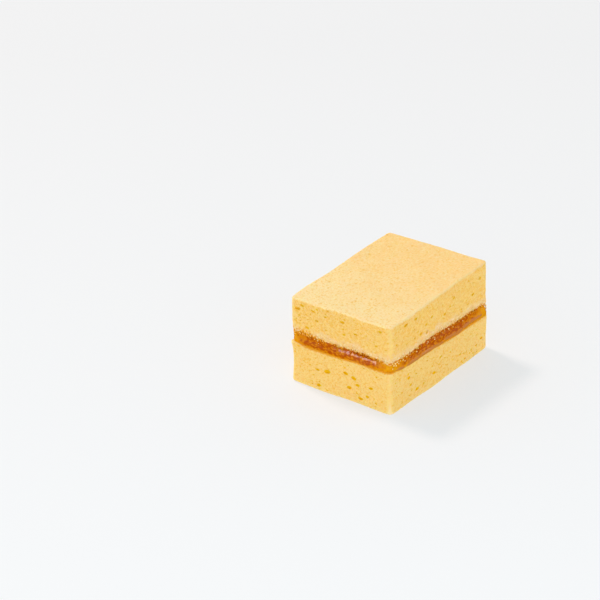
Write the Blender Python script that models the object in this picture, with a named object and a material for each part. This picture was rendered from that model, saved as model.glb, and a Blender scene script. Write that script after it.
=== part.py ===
"""A slice of chiffon cake: two cut layers of pale sponge with a band of apricot jam between them.

Metres, +Z up. X runs along the slice, Y across it, and the origin is the centre of its underside.
"""

import math
import random

import bmesh
import bpy
from mathutils import Euler, Matrix, Vector, noise

MM = 0.001

# The slice as cut.
LENGTH = 71 * MM
WIDTH = 51 * MM
CORNER_RADIUS = 1.8 * MM

# Heights above the board at the corners: (-X -Y), (+X -Y), (-X +Y), (+X +Y).
# The jam lies thicker at +X, and the top of the slice falls a little towards +Y.
BOARD = (0.0, 0.0, 0.0, 0.0)
LOWER_SPONGE_TOP = (20.3 * MM, 16.7 * MM, 19.3 * MM, 15.7 * MM)
UPPER_SPONGE_UNDERSIDE = (24.5 * MM, 22.8 * MM, 23.8 * MM, 22.0 * MM)
UPPER_SPONGE_TOP = (42.3 * MM, 42.7 * MM, 40.7 * MM, 40.2 * MM)

# Roundings along the rims of the layers.
BASE_RIM = 1.0 * MM
JAM_SIDE_RIM = 1.5 * MM
TORN_RIM = 0.6 * MM
CROWN_RIM = 0.75 * MM
CORNER_SEGMENTS = 3
RIM_SEGMENTS = 2

# The gap that keeps the jam clear of both sponges.
CLEARANCE = 0.3 * MM

# A knife drags soft sponge: the cut faces wander, bow at mid length and lean with height.
CUT_WANDER = 0.3 * MM
CUT_WAVELENGTH = 17 * MM
CUT_BOW = 0.5 * MM
LAYER_SWELL = 0.5 * MM
CRUMB_SETTLE = 0.35 * MM
SETTLE_WAVELENGTH = 24 * MM
SEED_STEP = 11.3

# The lower layer stands a little taller at its two -X corners, and towards +X it is swollen over more
# of its height. At the -X +Y corner both layers bulge towards the jam.
NOSE_LIFT = 0.8 * MM
NOSE_REACH = 8 * MM
BULGE = 0.45 * MM
BULGE_REACH = 9 * MM
EVEN_SWELL = 0.7

# Sponge is meshed in strips of this width, jam in finer ones for its lumps.
SPONGE_STRIP = 5.0 * MM
JAM_STRIP = 2.9 * MM
JAM_LIFT_STRIP = 0.8 * MM

# Points nearer than this to a height or a plane count as lying on it.
LEVEL = 1e-6

# Jam squeezed to the edge: a lip that laps over the lower sponge, with a hollow above it.
JAM_INSET = 0.3 * MM
JAM_RIM = 0.5 * MM
JAM_LAP_REACH = 1.8 * MM
JAM_LAP_DROP = 0.4 * MM
JAM_LIP = 0.45 * MM
JAM_LIP_SHARE = 0.55
JAM_HOLLOW = 0.55 * MM
JAM_LUMP = 0.35 * MM
JAM_LUMP_LENGTH = 5.5 * MM

# The largest air holes on the two faces that are cut cleanest, each as
# (place along the face, height above the board, width) in millimetres.
END_HOLES = (
    (22.0, 36.5, 2.3), (19.6, 38.6, 1.6), (14.1, 37.6, 1.6), (12.3, 33.6, 1.6), (17.6, 28.4, 1.6),
    (-0.8, 37.0, 1.9), (-7.3, 33.3, 1.5), (-1.6, 31.4, 1.3), (-20.2, 39.2, 1.7), (-17.8, 31.4, 1.3),
    (7.1, 10.6, 2.5), (-2.3, 12.8, 2.0), (-6.4, 11.6, 2.1), (12.1, 10.1, 1.6), (-4.1, 6.4, 2.1),
    (-8.6, 8.9, 1.8), (-15.8, 10.0, 2.0), (-13.8, 5.4, 1.6), (-10.3, 3.2, 2.2), (11.4, 2.9, 1.8),
)
FRONT_HOLES = (
    (-25.2, 39.6, 2.2), (-18.4, 39.4, 1.8), (-9.3, 28.6, 2.2), (-14.0, 30.2, 1.7), (-6.2, 34.4, 1.6),
    (-10.2, 32.7, 1.6), (10.0, 36.3, 1.5), (3.6, 31.2, 1.4), (24.0, 31.5, 1.5), (29.5, 36.8, 1.4),
    (30.6, 6.8, 1.7), (-4.6, 6.8, 1.8), (-16.5, 4.4, 1.9), (-21.0, 8.6, 1.5), (-22.4, 12.8, 1.8),
    (0.7, 12.3, 1.4), (14.3, 6.9, 1.3), (26.8, 5.2, 1.3),
)

# Air holes on the other two faces follow a seeded draw.
HOLE_SEED = 7
HOLES_PER_FACE = 9
HOLE_WIDTHS = (1.3 * MM, 2.2 * MM)
HOLE_SPACING = 4.2 * MM
HOLE_UPRIGHT_SPACING = 2.8 * MM
HOLE_EDGE_MARGIN = 3.2 * MM
HOLE_FLATNESS = (0.43, 0.65)
HOLE_DEPTH_SHARE = 0.45
HOLE_TILT = math.radians(14)

SPONGE_SIDE_COLOUR = (0.91, 0.61, 0.19, 1.0)
SPONGE_TOP_COLOUR = (0.96, 0.70, 0.31, 1.0)
JAM_COLOUR = (0.56, 0.15, 0.005, 1.0)
SPONGE_ROUGHNESS = 0.85
JAM_ROUGHNESS = 0.18
CREASE_ANGLE = math.radians(50)


def clear_scene():
    for item in list(bpy.data.objects):
        bpy.data.objects.remove(item, do_unlink=True)


def collection_named(name):
    group = bpy.data.collections.new(name)
    bpy.context.scene.collection.children.link(group)
    return group


def material_named(name, colour, roughness):
    finish = bpy.data.materials.new(name)
    finish.use_nodes = True
    shader = finish.node_tree.nodes["Principled BSDF"]
    shader.inputs["Base Color"].default_value = colour
    shader.inputs["Roughness"].default_value = roughness
    shader.inputs["Metallic"].default_value = 0.0
    return finish


def object_from(cage, name, group):
    mesh = bpy.data.meshes.new(name)
    cage.to_mesh(mesh)
    cage.free()
    item = bpy.data.objects.new(name, mesh)
    group.objects.link(item)
    return item


def blend(low, high, share):
    return low + (high - low) * share


def height_at(corners, x, y):
    """The height of a sloping face at a place in plan, from its heights at the four corners."""
    along = x / LENGTH + 0.5
    across = y / WIDTH + 0.5
    front = blend(corners[0], corners[1], along)
    back = blend(corners[2], corners[3], along)
    return blend(front, back, across)


def ripple(x, y, z, wavelength, seed):
    """A smooth seeded wander between about -1 and 1."""
    return 2 * noise.noise(Vector((x, y, z)) / wavelength + Vector((seed * SEED_STEP, 0, 0)))


def settled(corners, x, y, seed):
    """A sloping face with the slow unevenness of baked crumb."""
    return height_at(corners, x, y) + CRUMB_SETTLE * ripple(x, y, 0, SETTLE_WAVELENGTH, seed)


def falling(distance, reach):
    """1 at no distance, 0 at the reach and beyond."""
    return max(0.0, min(1.0, 1 - distance / reach))


def lower_sponge_top(x, y):
    nose = falling(math.hypot(x + LENGTH / 2, abs(y) - WIDTH / 2), NOSE_REACH)
    return settled(LOWER_SPONGE_TOP, x, y, 1) + NOSE_LIFT * nose


def upper_sponge_underside(x, y):
    return settled(UPPER_SPONGE_UNDERSIDE, x, y, 2)


def depth_inside(x, y):
    """How far a place in plan lies inside the slice's rounded outline."""
    past_x = abs(x) - (LENGTH / 2 - CORNER_RADIUS)
    past_y = abs(y) - (WIDTH / 2 - CORNER_RADIUS)
    outside = math.hypot(max(past_x, 0), max(past_y, 0))
    return CORNER_RADIUS - outside - min(max(past_x, past_y), 0)


def cut_faces(x, y, z, swell):
    """A place in plan moved as the knife left it: wandering, bowed at mid length and swollen."""
    x_wander = CUT_WANDER * ripple(x, y, z, CUT_WAVELENGTH, 3)
    y_wander = CUT_WANDER * ripple(x, y, z, CUT_WAVELENGTH, 4)
    bow = CUT_BOW * (1 - (2 * x / LENGTH) ** 2)
    return (
        x * (1 + 2 * swell / LENGTH) + x_wander,
        y * (1 + 2 * (swell + bow) / WIDTH) + y_wander,
    )


def at_bulge(x, y):
    """1 at the -X +Y corner, 0 beyond the bulge's reach."""
    return falling(math.hypot(x + LENGTH / 2, y - WIDTH / 2), BULGE_REACH)


def lower_sponge_place(x, y, share):
    """Where a point of the lower sponge goes, share being its height from 0 to 1. It swells towards the jam."""
    z = blend(height_at(BOARD, x, y), lower_sponge_top(x, y), share)
    towards_right = x / LENGTH + 0.5
    swell = LAYER_SWELL * blend(share**4, EVEN_SWELL, towards_right) + BULGE * at_bulge(x, y) * share**6
    return (*cut_faces(x, y, z, swell), z)


def upper_sponge_place(x, y, share):
    """Where a point of the upper sponge goes. It is drawn in at its torn underside, most towards -X."""
    z = blend(upper_sponge_underside(x, y), settled(UPPER_SPONGE_TOP, x, y, 5), share)
    swell = BULGE * at_bulge(x, y) * (1 - share) - LAYER_SWELL * (0.5 - x / LENGTH) * (1 - share) ** 5
    return (*cut_faces(x, y, z, swell), z)


def jam_place(x, y, share):
    """Where a point of the jam goes: it laps down over the lower sponge's rim and lies hollow above that."""
    lap = falling(depth_inside(x, y), JAM_LAP_REACH)
    floor = lower_sponge_top(x, y) + CLEARANCE - JAM_LAP_DROP * lap
    z = blend(floor, upper_sponge_underside(x, y) - CLEARANCE, share)
    lip = JAM_LIP * math.sin(math.pi * min(share / JAM_LIP_SHARE, 1))
    hollow = JAM_HOLLOW * share
    lump = JAM_LUMP * ripple(x, y, z, JAM_LUMP_LENGTH, 6)
    return (*cut_faces(x, y, z, lip - hollow + lump), z)


def edges_at_height(cage, height):
    return [edge for edge in cage.edges if all(abs(v.co.z - height) < LEVEL for v in edge.verts)]


def upright_edges(cage):
    return [edge for edge in cage.edges if abs(edge.verts[0].co.z - edge.verts[1].co.z) > LEVEL]


def round_over(cage, edges, radius, segments):
    bmesh.ops.bevel(
        cage, geom=edges, offset=radius, offset_type="OFFSET", segments=segments, profile=0.5, affect="EDGES"
    )


def slice_evenly(cage, axis, low, high, strip):
    """Cuts the block across one axis into even strips, so that it can be bent."""
    count = max(2, round((high - low) / strip))
    normal = Vector((axis == 0, axis == 1, axis == 2))
    for step in range(count + 1):
        place = normal * blend(low, high, step / count)
        everything = cage.verts[:] + cage.edges[:] + cage.faces[:]
        bmesh.ops.bisect_plane(cage, geom=everything, plane_co=place, plane_no=normal, dist=LEVEL)


def rounded_block(length, width, thickness, base_rim, upper_rim, strip, lift_strip):
    """A block standing on z = 0 with its upright edges and rims rounded, cut into strips."""
    cage = bmesh.new()
    size = Matrix.Diagonal((length, width, thickness, 1))
    bmesh.ops.create_cube(cage, size=1, matrix=Matrix.Translation((0, 0, thickness / 2)) @ size)
    round_over(cage, upright_edges(cage), CORNER_RADIUS, CORNER_SEGMENTS)
    if base_rim:
        round_over(cage, edges_at_height(cage, 0), base_rim, RIM_SEGMENTS)
    if upper_rim:
        round_over(cage, edges_at_height(cage, thickness), upper_rim, RIM_SEGMENTS)
    flat_x = length / 2 - CORNER_RADIUS
    flat_y = width / 2 - CORNER_RADIUS
    slice_evenly(cage, 0, -flat_x, flat_x, strip)
    slice_evenly(cage, 1, -flat_y, flat_y, strip)
    slice_evenly(cage, 2, max(base_rim, lift_strip), thickness - max(upper_rim, lift_strip), lift_strip)
    return cage


def bend(cage, thickness, place_of):
    """Moves every point of a block to its place in the slice."""
    for point in cage.verts:
        point.co = place_of(point.co.x, point.co.y, point.co.z / thickness)


def drawn_holes(draw, half_face, low, high):
    """Air holes for one face of a layer, spread by a seeded draw, as (along, height, width)."""
    holes = []
    while len(holes) < HOLES_PER_FACE:
        along = draw.uniform(HOLE_EDGE_MARGIN - half_face, half_face - HOLE_EDGE_MARGIN)
        height = draw.uniform(low + HOLE_EDGE_MARGIN, high - HOLE_EDGE_MARGIN)
        width = blend(*HOLE_WIDTHS, draw.random() ** 2)
        if all(
            math.hypot((along - a) / HOLE_SPACING, (height - h) / HOLE_UPRIGHT_SPACING) > 1 for a, h, _ in holes
        ):
            holes.append((along, height, width))
    return holes


def holes_of_layer(low_corners, high_corners, draw):
    """All the air holes of one sponge, as (outward direction, x, y, height, width)."""
    low, high = max(low_corners), min(high_corners)
    holes = []
    for listed, outward in ((END_HOLES, Vector((-1, 0, 0))), (FRONT_HOLES, Vector((0, -1, 0)))):
        for along, height, width in listed:
            if low < height * MM < high:
                holes.append((outward, along * MM, height * MM, width * MM))
    for outward, half_face in ((Vector((1, 0, 0)), WIDTH / 2), (Vector((0, 1, 0)), LENGTH / 2)):
        for along, height, width in drawn_holes(draw, half_face, low, high):
            holes.append((outward, along, height, width))
    return holes


def hole_cutters(name, holes, low_corners, high_corners, place_of, draw, group):
    """Flattened balls centred on the cut faces, one for each air hole."""
    balls = bmesh.new()
    for outward, along, height, width in holes:
        x = outward.x * LENGTH / 2 if outward.x else along
        y = outward.y * WIDTH / 2 if outward.y else along
        low = height_at(low_corners, x, y)
        high = height_at(high_corners, x, y)
        centre = place_of(x, y, (height - low) / (high - low))
        half_width = width / 2
        half_height = half_width * draw.uniform(*HOLE_FLATNESS)
        half_depth = width * HOLE_DEPTH_SHARE
        half_size = (half_depth, half_width, half_height) if outward.x else (half_width, half_depth, half_height)
        tilt = draw.uniform(-HOLE_TILT, HOLE_TILT)
        turn = Euler((tilt, 0, 0) if outward.x else (0, tilt, 0)).to_matrix().to_4x4()
        matrix = Matrix.Translation(centre) @ turn @ Matrix.Diagonal((*half_size, 1))
        bmesh.ops.create_icosphere(balls, subdivisions=2, radius=1, matrix=matrix)
    cutter = object_from(balls, name, group)
    cutter.hide_render = True
    cutter.display_type = "WIRE"
    return cutter


def make_sponge(name, colour, low_corners, high_corners, rims, place_of, seed, groups):
    """One layer of sponge, rounded, bent to its cut shape and pitted with air holes."""
    thickness = high_corners[0] - low_corners[0]
    cage = rounded_block(LENGTH, WIDTH, thickness, *rims, SPONGE_STRIP, SPONGE_STRIP)
    bend(cage, thickness, place_of)
    sponge = object_from(cage, name, groups[0])
    sponge.data.materials.append(material_named(name, colour, SPONGE_ROUGHNESS))

    draw = random.Random(seed)
    holes = holes_of_layer(low_corners, high_corners, draw)
    cutter = hole_cutters(name + "_holes", holes, low_corners, high_corners, place_of, draw, groups[1])
    pits = sponge.modifiers.new("air holes", "BOOLEAN")
    pits.operation = "DIFFERENCE"
    pits.solver = "EXACT"
    pits.object = cutter
    return sponge


def make_jam(name, groups):
    """The jam, a slab between the sponges with a lumpy lip all round."""
    thickness = UPPER_SPONGE_UNDERSIDE[0] - LOWER_SPONGE_TOP[0]
    size = (LENGTH - 2 * JAM_INSET, WIDTH - 2 * JAM_INSET, thickness)
    cage = rounded_block(*size, 0, JAM_RIM, JAM_STRIP, JAM_LIFT_STRIP)
    bend(cage, thickness, jam_place)
    jam = object_from(cage, name, groups[0])
    jam.data.materials.append(material_named(name, JAM_COLOUR, JAM_ROUGHNESS))
    jam.data.shade_smooth()
    jam.data.set_sharp_from_angle(angle=CREASE_ANGLE)
    return jam


clear_scene()
groups = (collection_named("chiffon_cake"), collection_named("hole_cutters"))
make_sponge(
    "sponge_bottom", SPONGE_SIDE_COLOUR, BOARD, LOWER_SPONGE_TOP, (BASE_RIM, JAM_SIDE_RIM),
    lower_sponge_place, HOLE_SEED, groups,
)
make_jam("jam_filling", groups)
make_sponge(
    "sponge_top", SPONGE_TOP_COLOUR, UPPER_SPONGE_UNDERSIDE, UPPER_SPONGE_TOP, (TORN_RIM, CROWN_RIM),
    upper_sponge_place, HOLE_SEED + 1, groups,
)
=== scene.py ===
"""A slice of chiffon cake with apricot jam between its two layers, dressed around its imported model."""

import math
import random

import bmesh
import bpy
from mathutils import Euler, Matrix, Vector, noise
from mathutils.kdtree import KDTree


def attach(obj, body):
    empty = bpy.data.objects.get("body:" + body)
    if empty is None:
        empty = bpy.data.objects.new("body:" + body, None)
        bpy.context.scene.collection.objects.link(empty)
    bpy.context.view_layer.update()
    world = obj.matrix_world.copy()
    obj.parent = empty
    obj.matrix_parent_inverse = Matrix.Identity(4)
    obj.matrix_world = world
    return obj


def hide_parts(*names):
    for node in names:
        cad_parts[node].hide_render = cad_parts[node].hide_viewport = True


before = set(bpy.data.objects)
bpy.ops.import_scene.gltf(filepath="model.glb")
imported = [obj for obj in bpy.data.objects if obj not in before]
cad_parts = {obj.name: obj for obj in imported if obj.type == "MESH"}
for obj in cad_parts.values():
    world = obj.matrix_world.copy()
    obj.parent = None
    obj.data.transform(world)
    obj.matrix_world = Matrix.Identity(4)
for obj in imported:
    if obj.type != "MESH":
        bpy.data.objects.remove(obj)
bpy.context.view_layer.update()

MM = 0.001


# ---------------------------------------------------------------------------------------------
# The studio. A long lens looks down on the slice from beyond its -X -Y corner. It stands on a
# softly lit white table, with one soft lamp behind it, so its shadow falls towards the viewer.

VIEW_AZIMUTH = math.radians(-54.11)
VIEW_ELEVATION = math.radians(29.6)
VIEW_CENTRE = Vector((22.4, 63.05, 0)) * MM
VIEW_DISTANCE = 3440 * MM
VIEW_LENS = 480
VIEW_SENSOR = 36
VIEW_FAR_LIMIT = 20000 * MM

towards_viewer = Vector(
    (
        math.sin(VIEW_AZIMUTH) * math.cos(VIEW_ELEVATION),
        -math.cos(VIEW_AZIMUTH) * math.cos(VIEW_ELEVATION),
        math.sin(VIEW_ELEVATION),
    )
)
bpy.ops.object.camera_add(location=VIEW_CENTRE + towards_viewer * VIEW_DISTANCE)
camera = bpy.context.object
camera.rotation_euler = towards_viewer.to_track_quat("Z", "Y").to_euler()
camera.data.lens = VIEW_LENS
camera.data.sensor_width = VIEW_SENSOR
camera.data.clip_end = VIEW_FAR_LIMIT
bpy.context.scene.camera = camera
bpy.context.scene.view_settings.view_transform = "Standard"

LAMP_DIRECTION = Vector((3, 28, 42)).normalized()
LAMP_DISTANCE = 2500 * MM
LAMP_SIZE = 500 * MM
LAMP_POWER = 20.2

bpy.ops.object.light_add(type="AREA", location=LAMP_DIRECTION * LAMP_DISTANCE)
lamp = bpy.context.object
lamp.rotation_euler = LAMP_DIRECTION.to_track_quat("Z", "Y").to_euler()
lamp.data.shape = "DISK"
lamp.data.size = LAMP_SIZE
lamp.data.energy = LAMP_POWER

ROOM_BRIGHTNESS = (1.49, 0.51)
ROOM_BAND = (0.15, 0.75)
ROOM_SIDES = (1.08, 0.92)
GLOSS_BAND = (0.5, 0.75)
GLOSS_BRIGHTNESS = (0.0, 5.0)
HORIZON_BAND = (-0.2, 0.1)
HORIZON_GLOSS = (0.0, 0.2)
BACKDROP_TONES = (0.76, 0.845)
BACKDROP_BLUR = 0.08
WHOLE = (0.0, 1.0)


def connect(tree, socket, source):
    """Joins a source to a socket, or sets the socket to a plain value."""
    if isinstance(source, bpy.types.NodeSocket):
        tree.links.new(source, socket)
    else:
        socket.default_value = source


def math_of(tree, operation, first, second):
    made = tree.nodes.new("ShaderNodeMath")
    made.operation = operation
    connect(tree, made.inputs[0], first)
    connect(tree, made.inputs[1], second)
    return made.outputs["Value"]


def ramp(tree, value, band, ends, course="LINEAR"):
    """Goes from one end to the other as the value crosses a band, and stays there beyond it."""
    made = tree.nodes.new("ShaderNodeMapRange")
    made.interpolation_type = course
    sockets = ("Value", "From Min", "From Max", "To Min", "To Max")
    for socket, source in zip(sockets, (value, *band, *ends)):
        connect(tree, made.inputs[socket], source)
    return made.outputs["Result"]


def reach_along(tree, place, direction):
    """How far a place lies along a direction."""
    made = tree.nodes.new("ShaderNodeVectorMath")
    made.operation = "DOT_PRODUCT"
    connect(tree, made.inputs[0], place)
    made.inputs[1].default_value = direction
    return made.outputs["Value"]


def tint(tree, share, below, above):
    """Goes from one colour to the other with the share."""
    made = tree.nodes.new("ShaderNodeMix")
    made.data_type = "RGBA"
    connect(tree, made.inputs[0], share)
    for socket, colour in ((made.inputs[6], below), (made.inputs[7], above)):
        connect(tree, socket, colour if isinstance(colour, bpy.types.NodeSocket) else (*colour, 1))
    return made.outputs[2]


def new_material(name):
    """A new material, with its node tree and its shader."""
    material = bpy.data.materials.new(name)
    material.use_nodes = True
    return material, material.node_tree, material.node_tree.nodes["Principled BSDF"]


# The walls are brighter than the ceiling, more so beyond -X. Wet things mirror a bright panel overhead and a
# dim band at eye level instead, and a low camera sees a backdrop in the table's own tone.
towards_front = Vector((math.sin(VIEW_AZIMUTH), -math.cos(VIEW_AZIMUTH), 0))
room = bpy.data.worlds.new("white room")
room.use_nodes = True
air = room.node_tree
outwards = air.nodes.new("ShaderNodeTexCoord").outputs["Generated"]
split = air.nodes.new("ShaderNodeSeparateXYZ")
connect(air, split.inputs["Vector"], outwards)
walls = ramp(air, split.outputs["Z"], ROOM_BAND, ROOM_BRIGHTNESS)
sides = ramp(air, split.outputs["X"], (-1, 1), ROOM_SIDES)
plain = math_of(air, "MULTIPLY", walls, sides)
panel = ramp(air, split.outputs["Z"], GLOSS_BAND, GLOSS_BRIGHTNESS)
horizon = ramp(air, split.outputs["Z"], HORIZON_BAND, HORIZON_GLOSS)
mirrored = math_of(air, "ADD", panel, horizon)
path = air.nodes.new("ShaderNodeLightPath")
seen = ramp(air, path.outputs["Is Glossy Ray"], WHOLE, (plain, mirrored))
facing = reach_along(air, outwards, towards_front)
backdrop = ramp(air, facing, (-BACKDROP_BLUR, BACKDROP_BLUR), BACKDROP_TONES)
shown = ramp(air, path.outputs["Is Camera Ray"], WHOLE, (seen, backdrop))
air.nodes["Background"].inputs["Color"].default_value = (1, 1, 1, 1)
connect(air, air.nodes["Background"].inputs["Strength"], shown)
bpy.context.scene.world = room

TABLE_SIZE = 8000 * MM
TABLE_GLOW = (0.562, 0.656)
TABLE_DEPTH = 240 * MM
TABLE_NEAR = (400 * MM, 1200 * MM)

# The table's colour and its glow, near the cake and far from it.
TABLE_COLOURS = ((0.449, 0.375, 0.340), (0.4, 0.4, 0.4))
TABLE_GLOW_COLOURS = ((0.738, 0.877, 0.947), (0.824, 0.824, 0.824))

bpy.ops.object.select_all(action="DESELECT")
bpy.ops.mesh.primitive_plane_add(size=TABLE_SIZE, location=(0, 0, 0))
table = bpy.context.object
table.name = "studio_table"
table_top, top_tree, top_shader = new_material("lit white table")
top_shader.inputs["Roughness"].default_value = 1
top_shader.inputs["Specular IOR Level"].default_value = 0

# The table glows a little more towards the viewer. Near the cake its glow is cool and its colour warm, which
# evens out to white in the light, and keeps the shadow grey where the cake throws its own yellow on it.
on_table = top_tree.nodes.new("ShaderNodeTexCoord").outputs["Object"]
distance = top_tree.nodes.new("ShaderNodeVectorMath")
distance.operation = "LENGTH"
connect(top_tree, distance.inputs[0], on_table)
farness = ramp(top_tree, distance.outputs["Value"], TABLE_NEAR, WHOLE)
for socket, colours in (("Base Color", TABLE_COLOURS), ("Emission Color", TABLE_GLOW_COLOURS)):
    connect(top_tree, top_shader.inputs[socket], tint(top_tree, farness, *colours))
view_middle = VIEW_CENTRE.dot(towards_front)
glow_band = (view_middle - TABLE_DEPTH, view_middle + TABLE_DEPTH)
glow = ramp(top_tree, reach_along(top_tree, on_table, towards_front), glow_band, TABLE_GLOW)
connect(top_tree, top_shader.inputs["Emission Strength"], glow)
table.data.materials.append(table_top)
table.visible_glossy = False


# ---------------------------------------------------------------------------------------------
# The lower layer of sponge. It is cut from a baked sheet of chiffon: open-pored, pale yellow crumb
# with air holes flattened by the rise. It is blocked out, bent to its cut shape, then pitted.

LENGTH = 71 * MM
WIDTH = 51 * MM
CORNER_RADIUS = 1.8 * MM
BASE_RIM = 1.0 * MM
JAM_SIDE_RIM = 0.9 * MM

# Heights above the board at the corners: (-X -Y), (+X -Y), (-X +Y), (+X +Y).
BOARD = (0.0, 0.0, 0.0, 0.0)
LOWER_TOP = (20.3 * MM, 16.7 * MM, 19.3 * MM, 15.7 * MM)

CUT_WANDER = 0.3 * MM
CUT_WAVELENGTH = 17 * MM
CUT_BOW = 0.5 * MM
CRUMB_SETTLE = 0.35 * MM
SETTLE_WAVELENGTH = 24 * MM
SEED_STEP = 11.3

# Both layers change in width near the jam at the -X end. At the +X end the lower one swells evenly.
LAYER_SWELL = 0.5 * MM
EVEN_SWELL = 0.7

# The lower layer is a little taller at its two -X corners. At the -X +Y one both layers bulge near the jam.
NOSE_LIFT = 0.8 * MM
NOSE_REACH = 8 * MM
BULGE = 0.45 * MM
BULGE_REACH = 9 * MM

SPONGE_GRAIN = 0.36 * MM
CORNER_FACETS = 6
RIM_FACETS = 4
SAME_HEIGHT = 0.001 * MM
NEARLY_LEVEL = 0.99
HIDDEN_BORDER = 3.5 * MM
CREASE_ANGLE = math.radians(50)

# The rough surface of cut crumb, in grain of two sizes. It fades out at the very foot.
ROUGHNESS_SEED = 3
GRAIN_SIZES = (1.9 * MM, 0.8 * MM)
FINE_GRAIN_SHARE = 0.7
FINE_GRAIN_SHIFT = Vector((31, 17, 5))
LOWER_ROUGHNESS = 0.09 * MM
SMOOTH_FOOT = 0.4 * MM

# The slice's four sides, as the directions that they face.
LEFT_END = Vector((-1, 0, 0))
RIGHT_END = Vector((1, 0, 0))
FRONT_SIDE = Vector((0, -1, 0))
REAR_SIDE = Vector((0, 1, 0))
SIDES = (LEFT_END, RIGHT_END, FRONT_SIDE, REAR_SIDE)

# The largest air holes of the -X end and the -Y side, as (along the face, height, width) in millimetres.
END_HOLES = (
    (22.0, 36.5, 2.3), (19.6, 38.6, 1.6), (14.1, 37.6, 1.6), (12.3, 33.6, 1.6), (17.6, 28.4, 1.6),
    (-0.8, 37.0, 1.9), (-7.3, 33.3, 1.5), (-1.6, 31.4, 1.3), (-20.2, 39.2, 1.7), (-17.8, 31.4, 1.3),
    (7.1, 10.6, 2.5), (-2.3, 12.8, 2.0), (-6.4, 11.6, 2.1), (12.1, 10.1, 1.6), (-4.1, 6.4, 2.1),
    (-8.6, 8.9, 1.8), (-15.8, 10.0, 2.0), (-13.8, 5.4, 1.6), (-10.3, 3.2, 2.2), (11.4, 2.9, 1.8),
)
SIDE_HOLES = (
    (-25.2, 39.6, 2.2), (-18.4, 39.4, 1.8), (-9.3, 28.6, 2.2), (-14.0, 30.2, 1.7), (-6.2, 34.4, 1.6),
    (-10.2, 32.7, 1.6), (10.0, 36.3, 1.5), (3.6, 31.2, 1.4), (24.0, 31.5, 1.5), (29.5, 36.8, 1.4),
    (30.6, 6.8, 1.7), (-4.6, 6.8, 1.8), (-16.5, 4.4, 1.9), (-21.0, 8.6, 1.5), (-22.4, 12.8, 1.8),
    (0.7, 12.3, 1.4), (14.3, 6.9, 1.3), (26.8, 5.2, 1.3),
)
HOLE_SEED = 7
HOLES_PER_FACE = 9
HOLE_WIDTHS = (1.3 * MM, 2.2 * MM)
HOLE_SPACING = 4.2 * MM
HOLE_EDGE_MARGIN = 3.2 * MM
HOLE_FLATNESS = 0.5
HOLE_FLATNESS_SPREAD = (0.85, 1.3)
HOLE_DEPTH_SHARE = 0.32
HOLE_TILT = math.radians(14)
LISTED_HOLE_GROWTH = 1.22

FINE_HOLES = 140
FINE_HOLE_WIDTHS = (0.5 * MM, 1.3 * MM)
FINE_HOLE_LEANING = 1.8
FINE_EDGE_MARGIN = 1.0 * MM

# Holes are flat, so they may be closer in height than along the face. A fine one's gap is a share of widths.
HOLE_STACKING = 1.5
FINE_HOLE_STACKING = 1.8
FINE_HOLE_GAP = 0.7

# Painted shade: a hole is painted a deeper yellow the wider it is, and the shade fades into the crumb around
# it.
FULL_SHADE_HOLE = 0.8 * MM
HOLE_SHADE_CURVE = 0.7
HOLE_HALO = 0.4 * MM
HALO_SHADE = 0.7

# The uneven balls that holes are cut with, finer ones from this size on.
FINE_BALL = 0.45 * MM
BALL_UNEVENNESS = 0.35
BALL_LUMPS = 1.3
NOISE_SPREAD = 50

CRUMB_YELLOW = (0.94, 0.58, 0.145)
CRUMB_PALE = (0.96, 0.66, 0.24)
CRUMB_WARM = (0.94, 0.53, 0.10)
CRUMB_DEEP = (0.90, 0.46, 0.03)
# Pale crumb, for pale patches and for the painted highlight on edges.
CRUMB_DRY_AND_HIGHLIGHT = (0.99, 0.71, 0.25)
# The painted shade inside the holes.
HOLE_SHADE_YELLOW = (0.91, 0.55, 0.006)
EGG_YELLOW = (0.93, 0.50, 0.05)
# A painted highlight, on edges, the foot and the top's rim.
RIM_HIGHLIGHT = (1.0, 0.78, 0.39)
JAM_STAIN_PALE = (0.86, 0.37, 0.02)
# Dark jam stain, also painted shade where the crumb meets the jam.
JAM_STAIN_AND_SHADE_DARK = (0.55, 0.14, 0.002)

PATTERN_STEP = (13.7, 5.1, 9.3)
DOT_CORE = 0.3

# The crumb's patches, as (width in millimetres, seed, detail, flatness, how thick their clouds are where the
# patches start and where they are in full, how strong they get, colour).
CRUMB_PATCHES = (
    (9, 1, 3, 1, 0.46, 0.68, 0.75, CRUMB_WARM),
    (1.6, 2, 3, 1.3, 0.44, 0.62, 0.9, CRUMB_PALE),
    (0.9, 9, 2, 1.3, 0.51, 0.64, 0.75, CRUMB_DRY_AND_HIGHLIGHT),
    (0.8, 3, 2, 1.3, 0.5, 0.65, 0.75, CRUMB_DEEP),
)
CELL_RELIEF = 0.6


def only(piece):
    """Makes one piece the only selected and active one."""
    bpy.ops.object.select_all(action="DESELECT")
    piece.select_set(True)
    bpy.context.view_layer.objects.active = piece


def select_in_edit(piece, kind, wanted):
    """Selects the faces or edges of the piece in edit mode that a test picks."""
    cage = bmesh.from_edit_mesh(piece.data)
    bpy.ops.mesh.select_all(action="DESELECT")
    for item in getattr(cage, kind):
        if wanted(item):
            item.select_set(True)
    bmesh.update_edit_mesh(piece.data)


def apply_modifier(piece, kind, **settings):
    """Gives a piece a modifier with these settings and applies it."""
    only(piece)
    step = piece.modifiers.new(kind.lower(), kind)
    for name, value in settings.items():
        setattr(step, name, value)
    bpy.ops.object.modifier_apply(modifier=step.name)


def blend(low, high, share):
    return low + (high - low) * share


def height_at(corners, x, y):
    """The height of a sloping face at a place in plan, from its heights at the four corners."""
    along = x / LENGTH + 0.5
    across = y / WIDTH + 0.5
    front = blend(corners[0], corners[1], along)
    rear = blend(corners[2], corners[3], along)
    return blend(front, rear, across)


def ripple(x, y, z, wavelength, seed):
    """A smooth seeded wander between about -1 and 1."""
    return 2 * noise.noise(Vector((x, y, z)) / wavelength + Vector((seed * SEED_STEP, 0, 0)))


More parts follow.
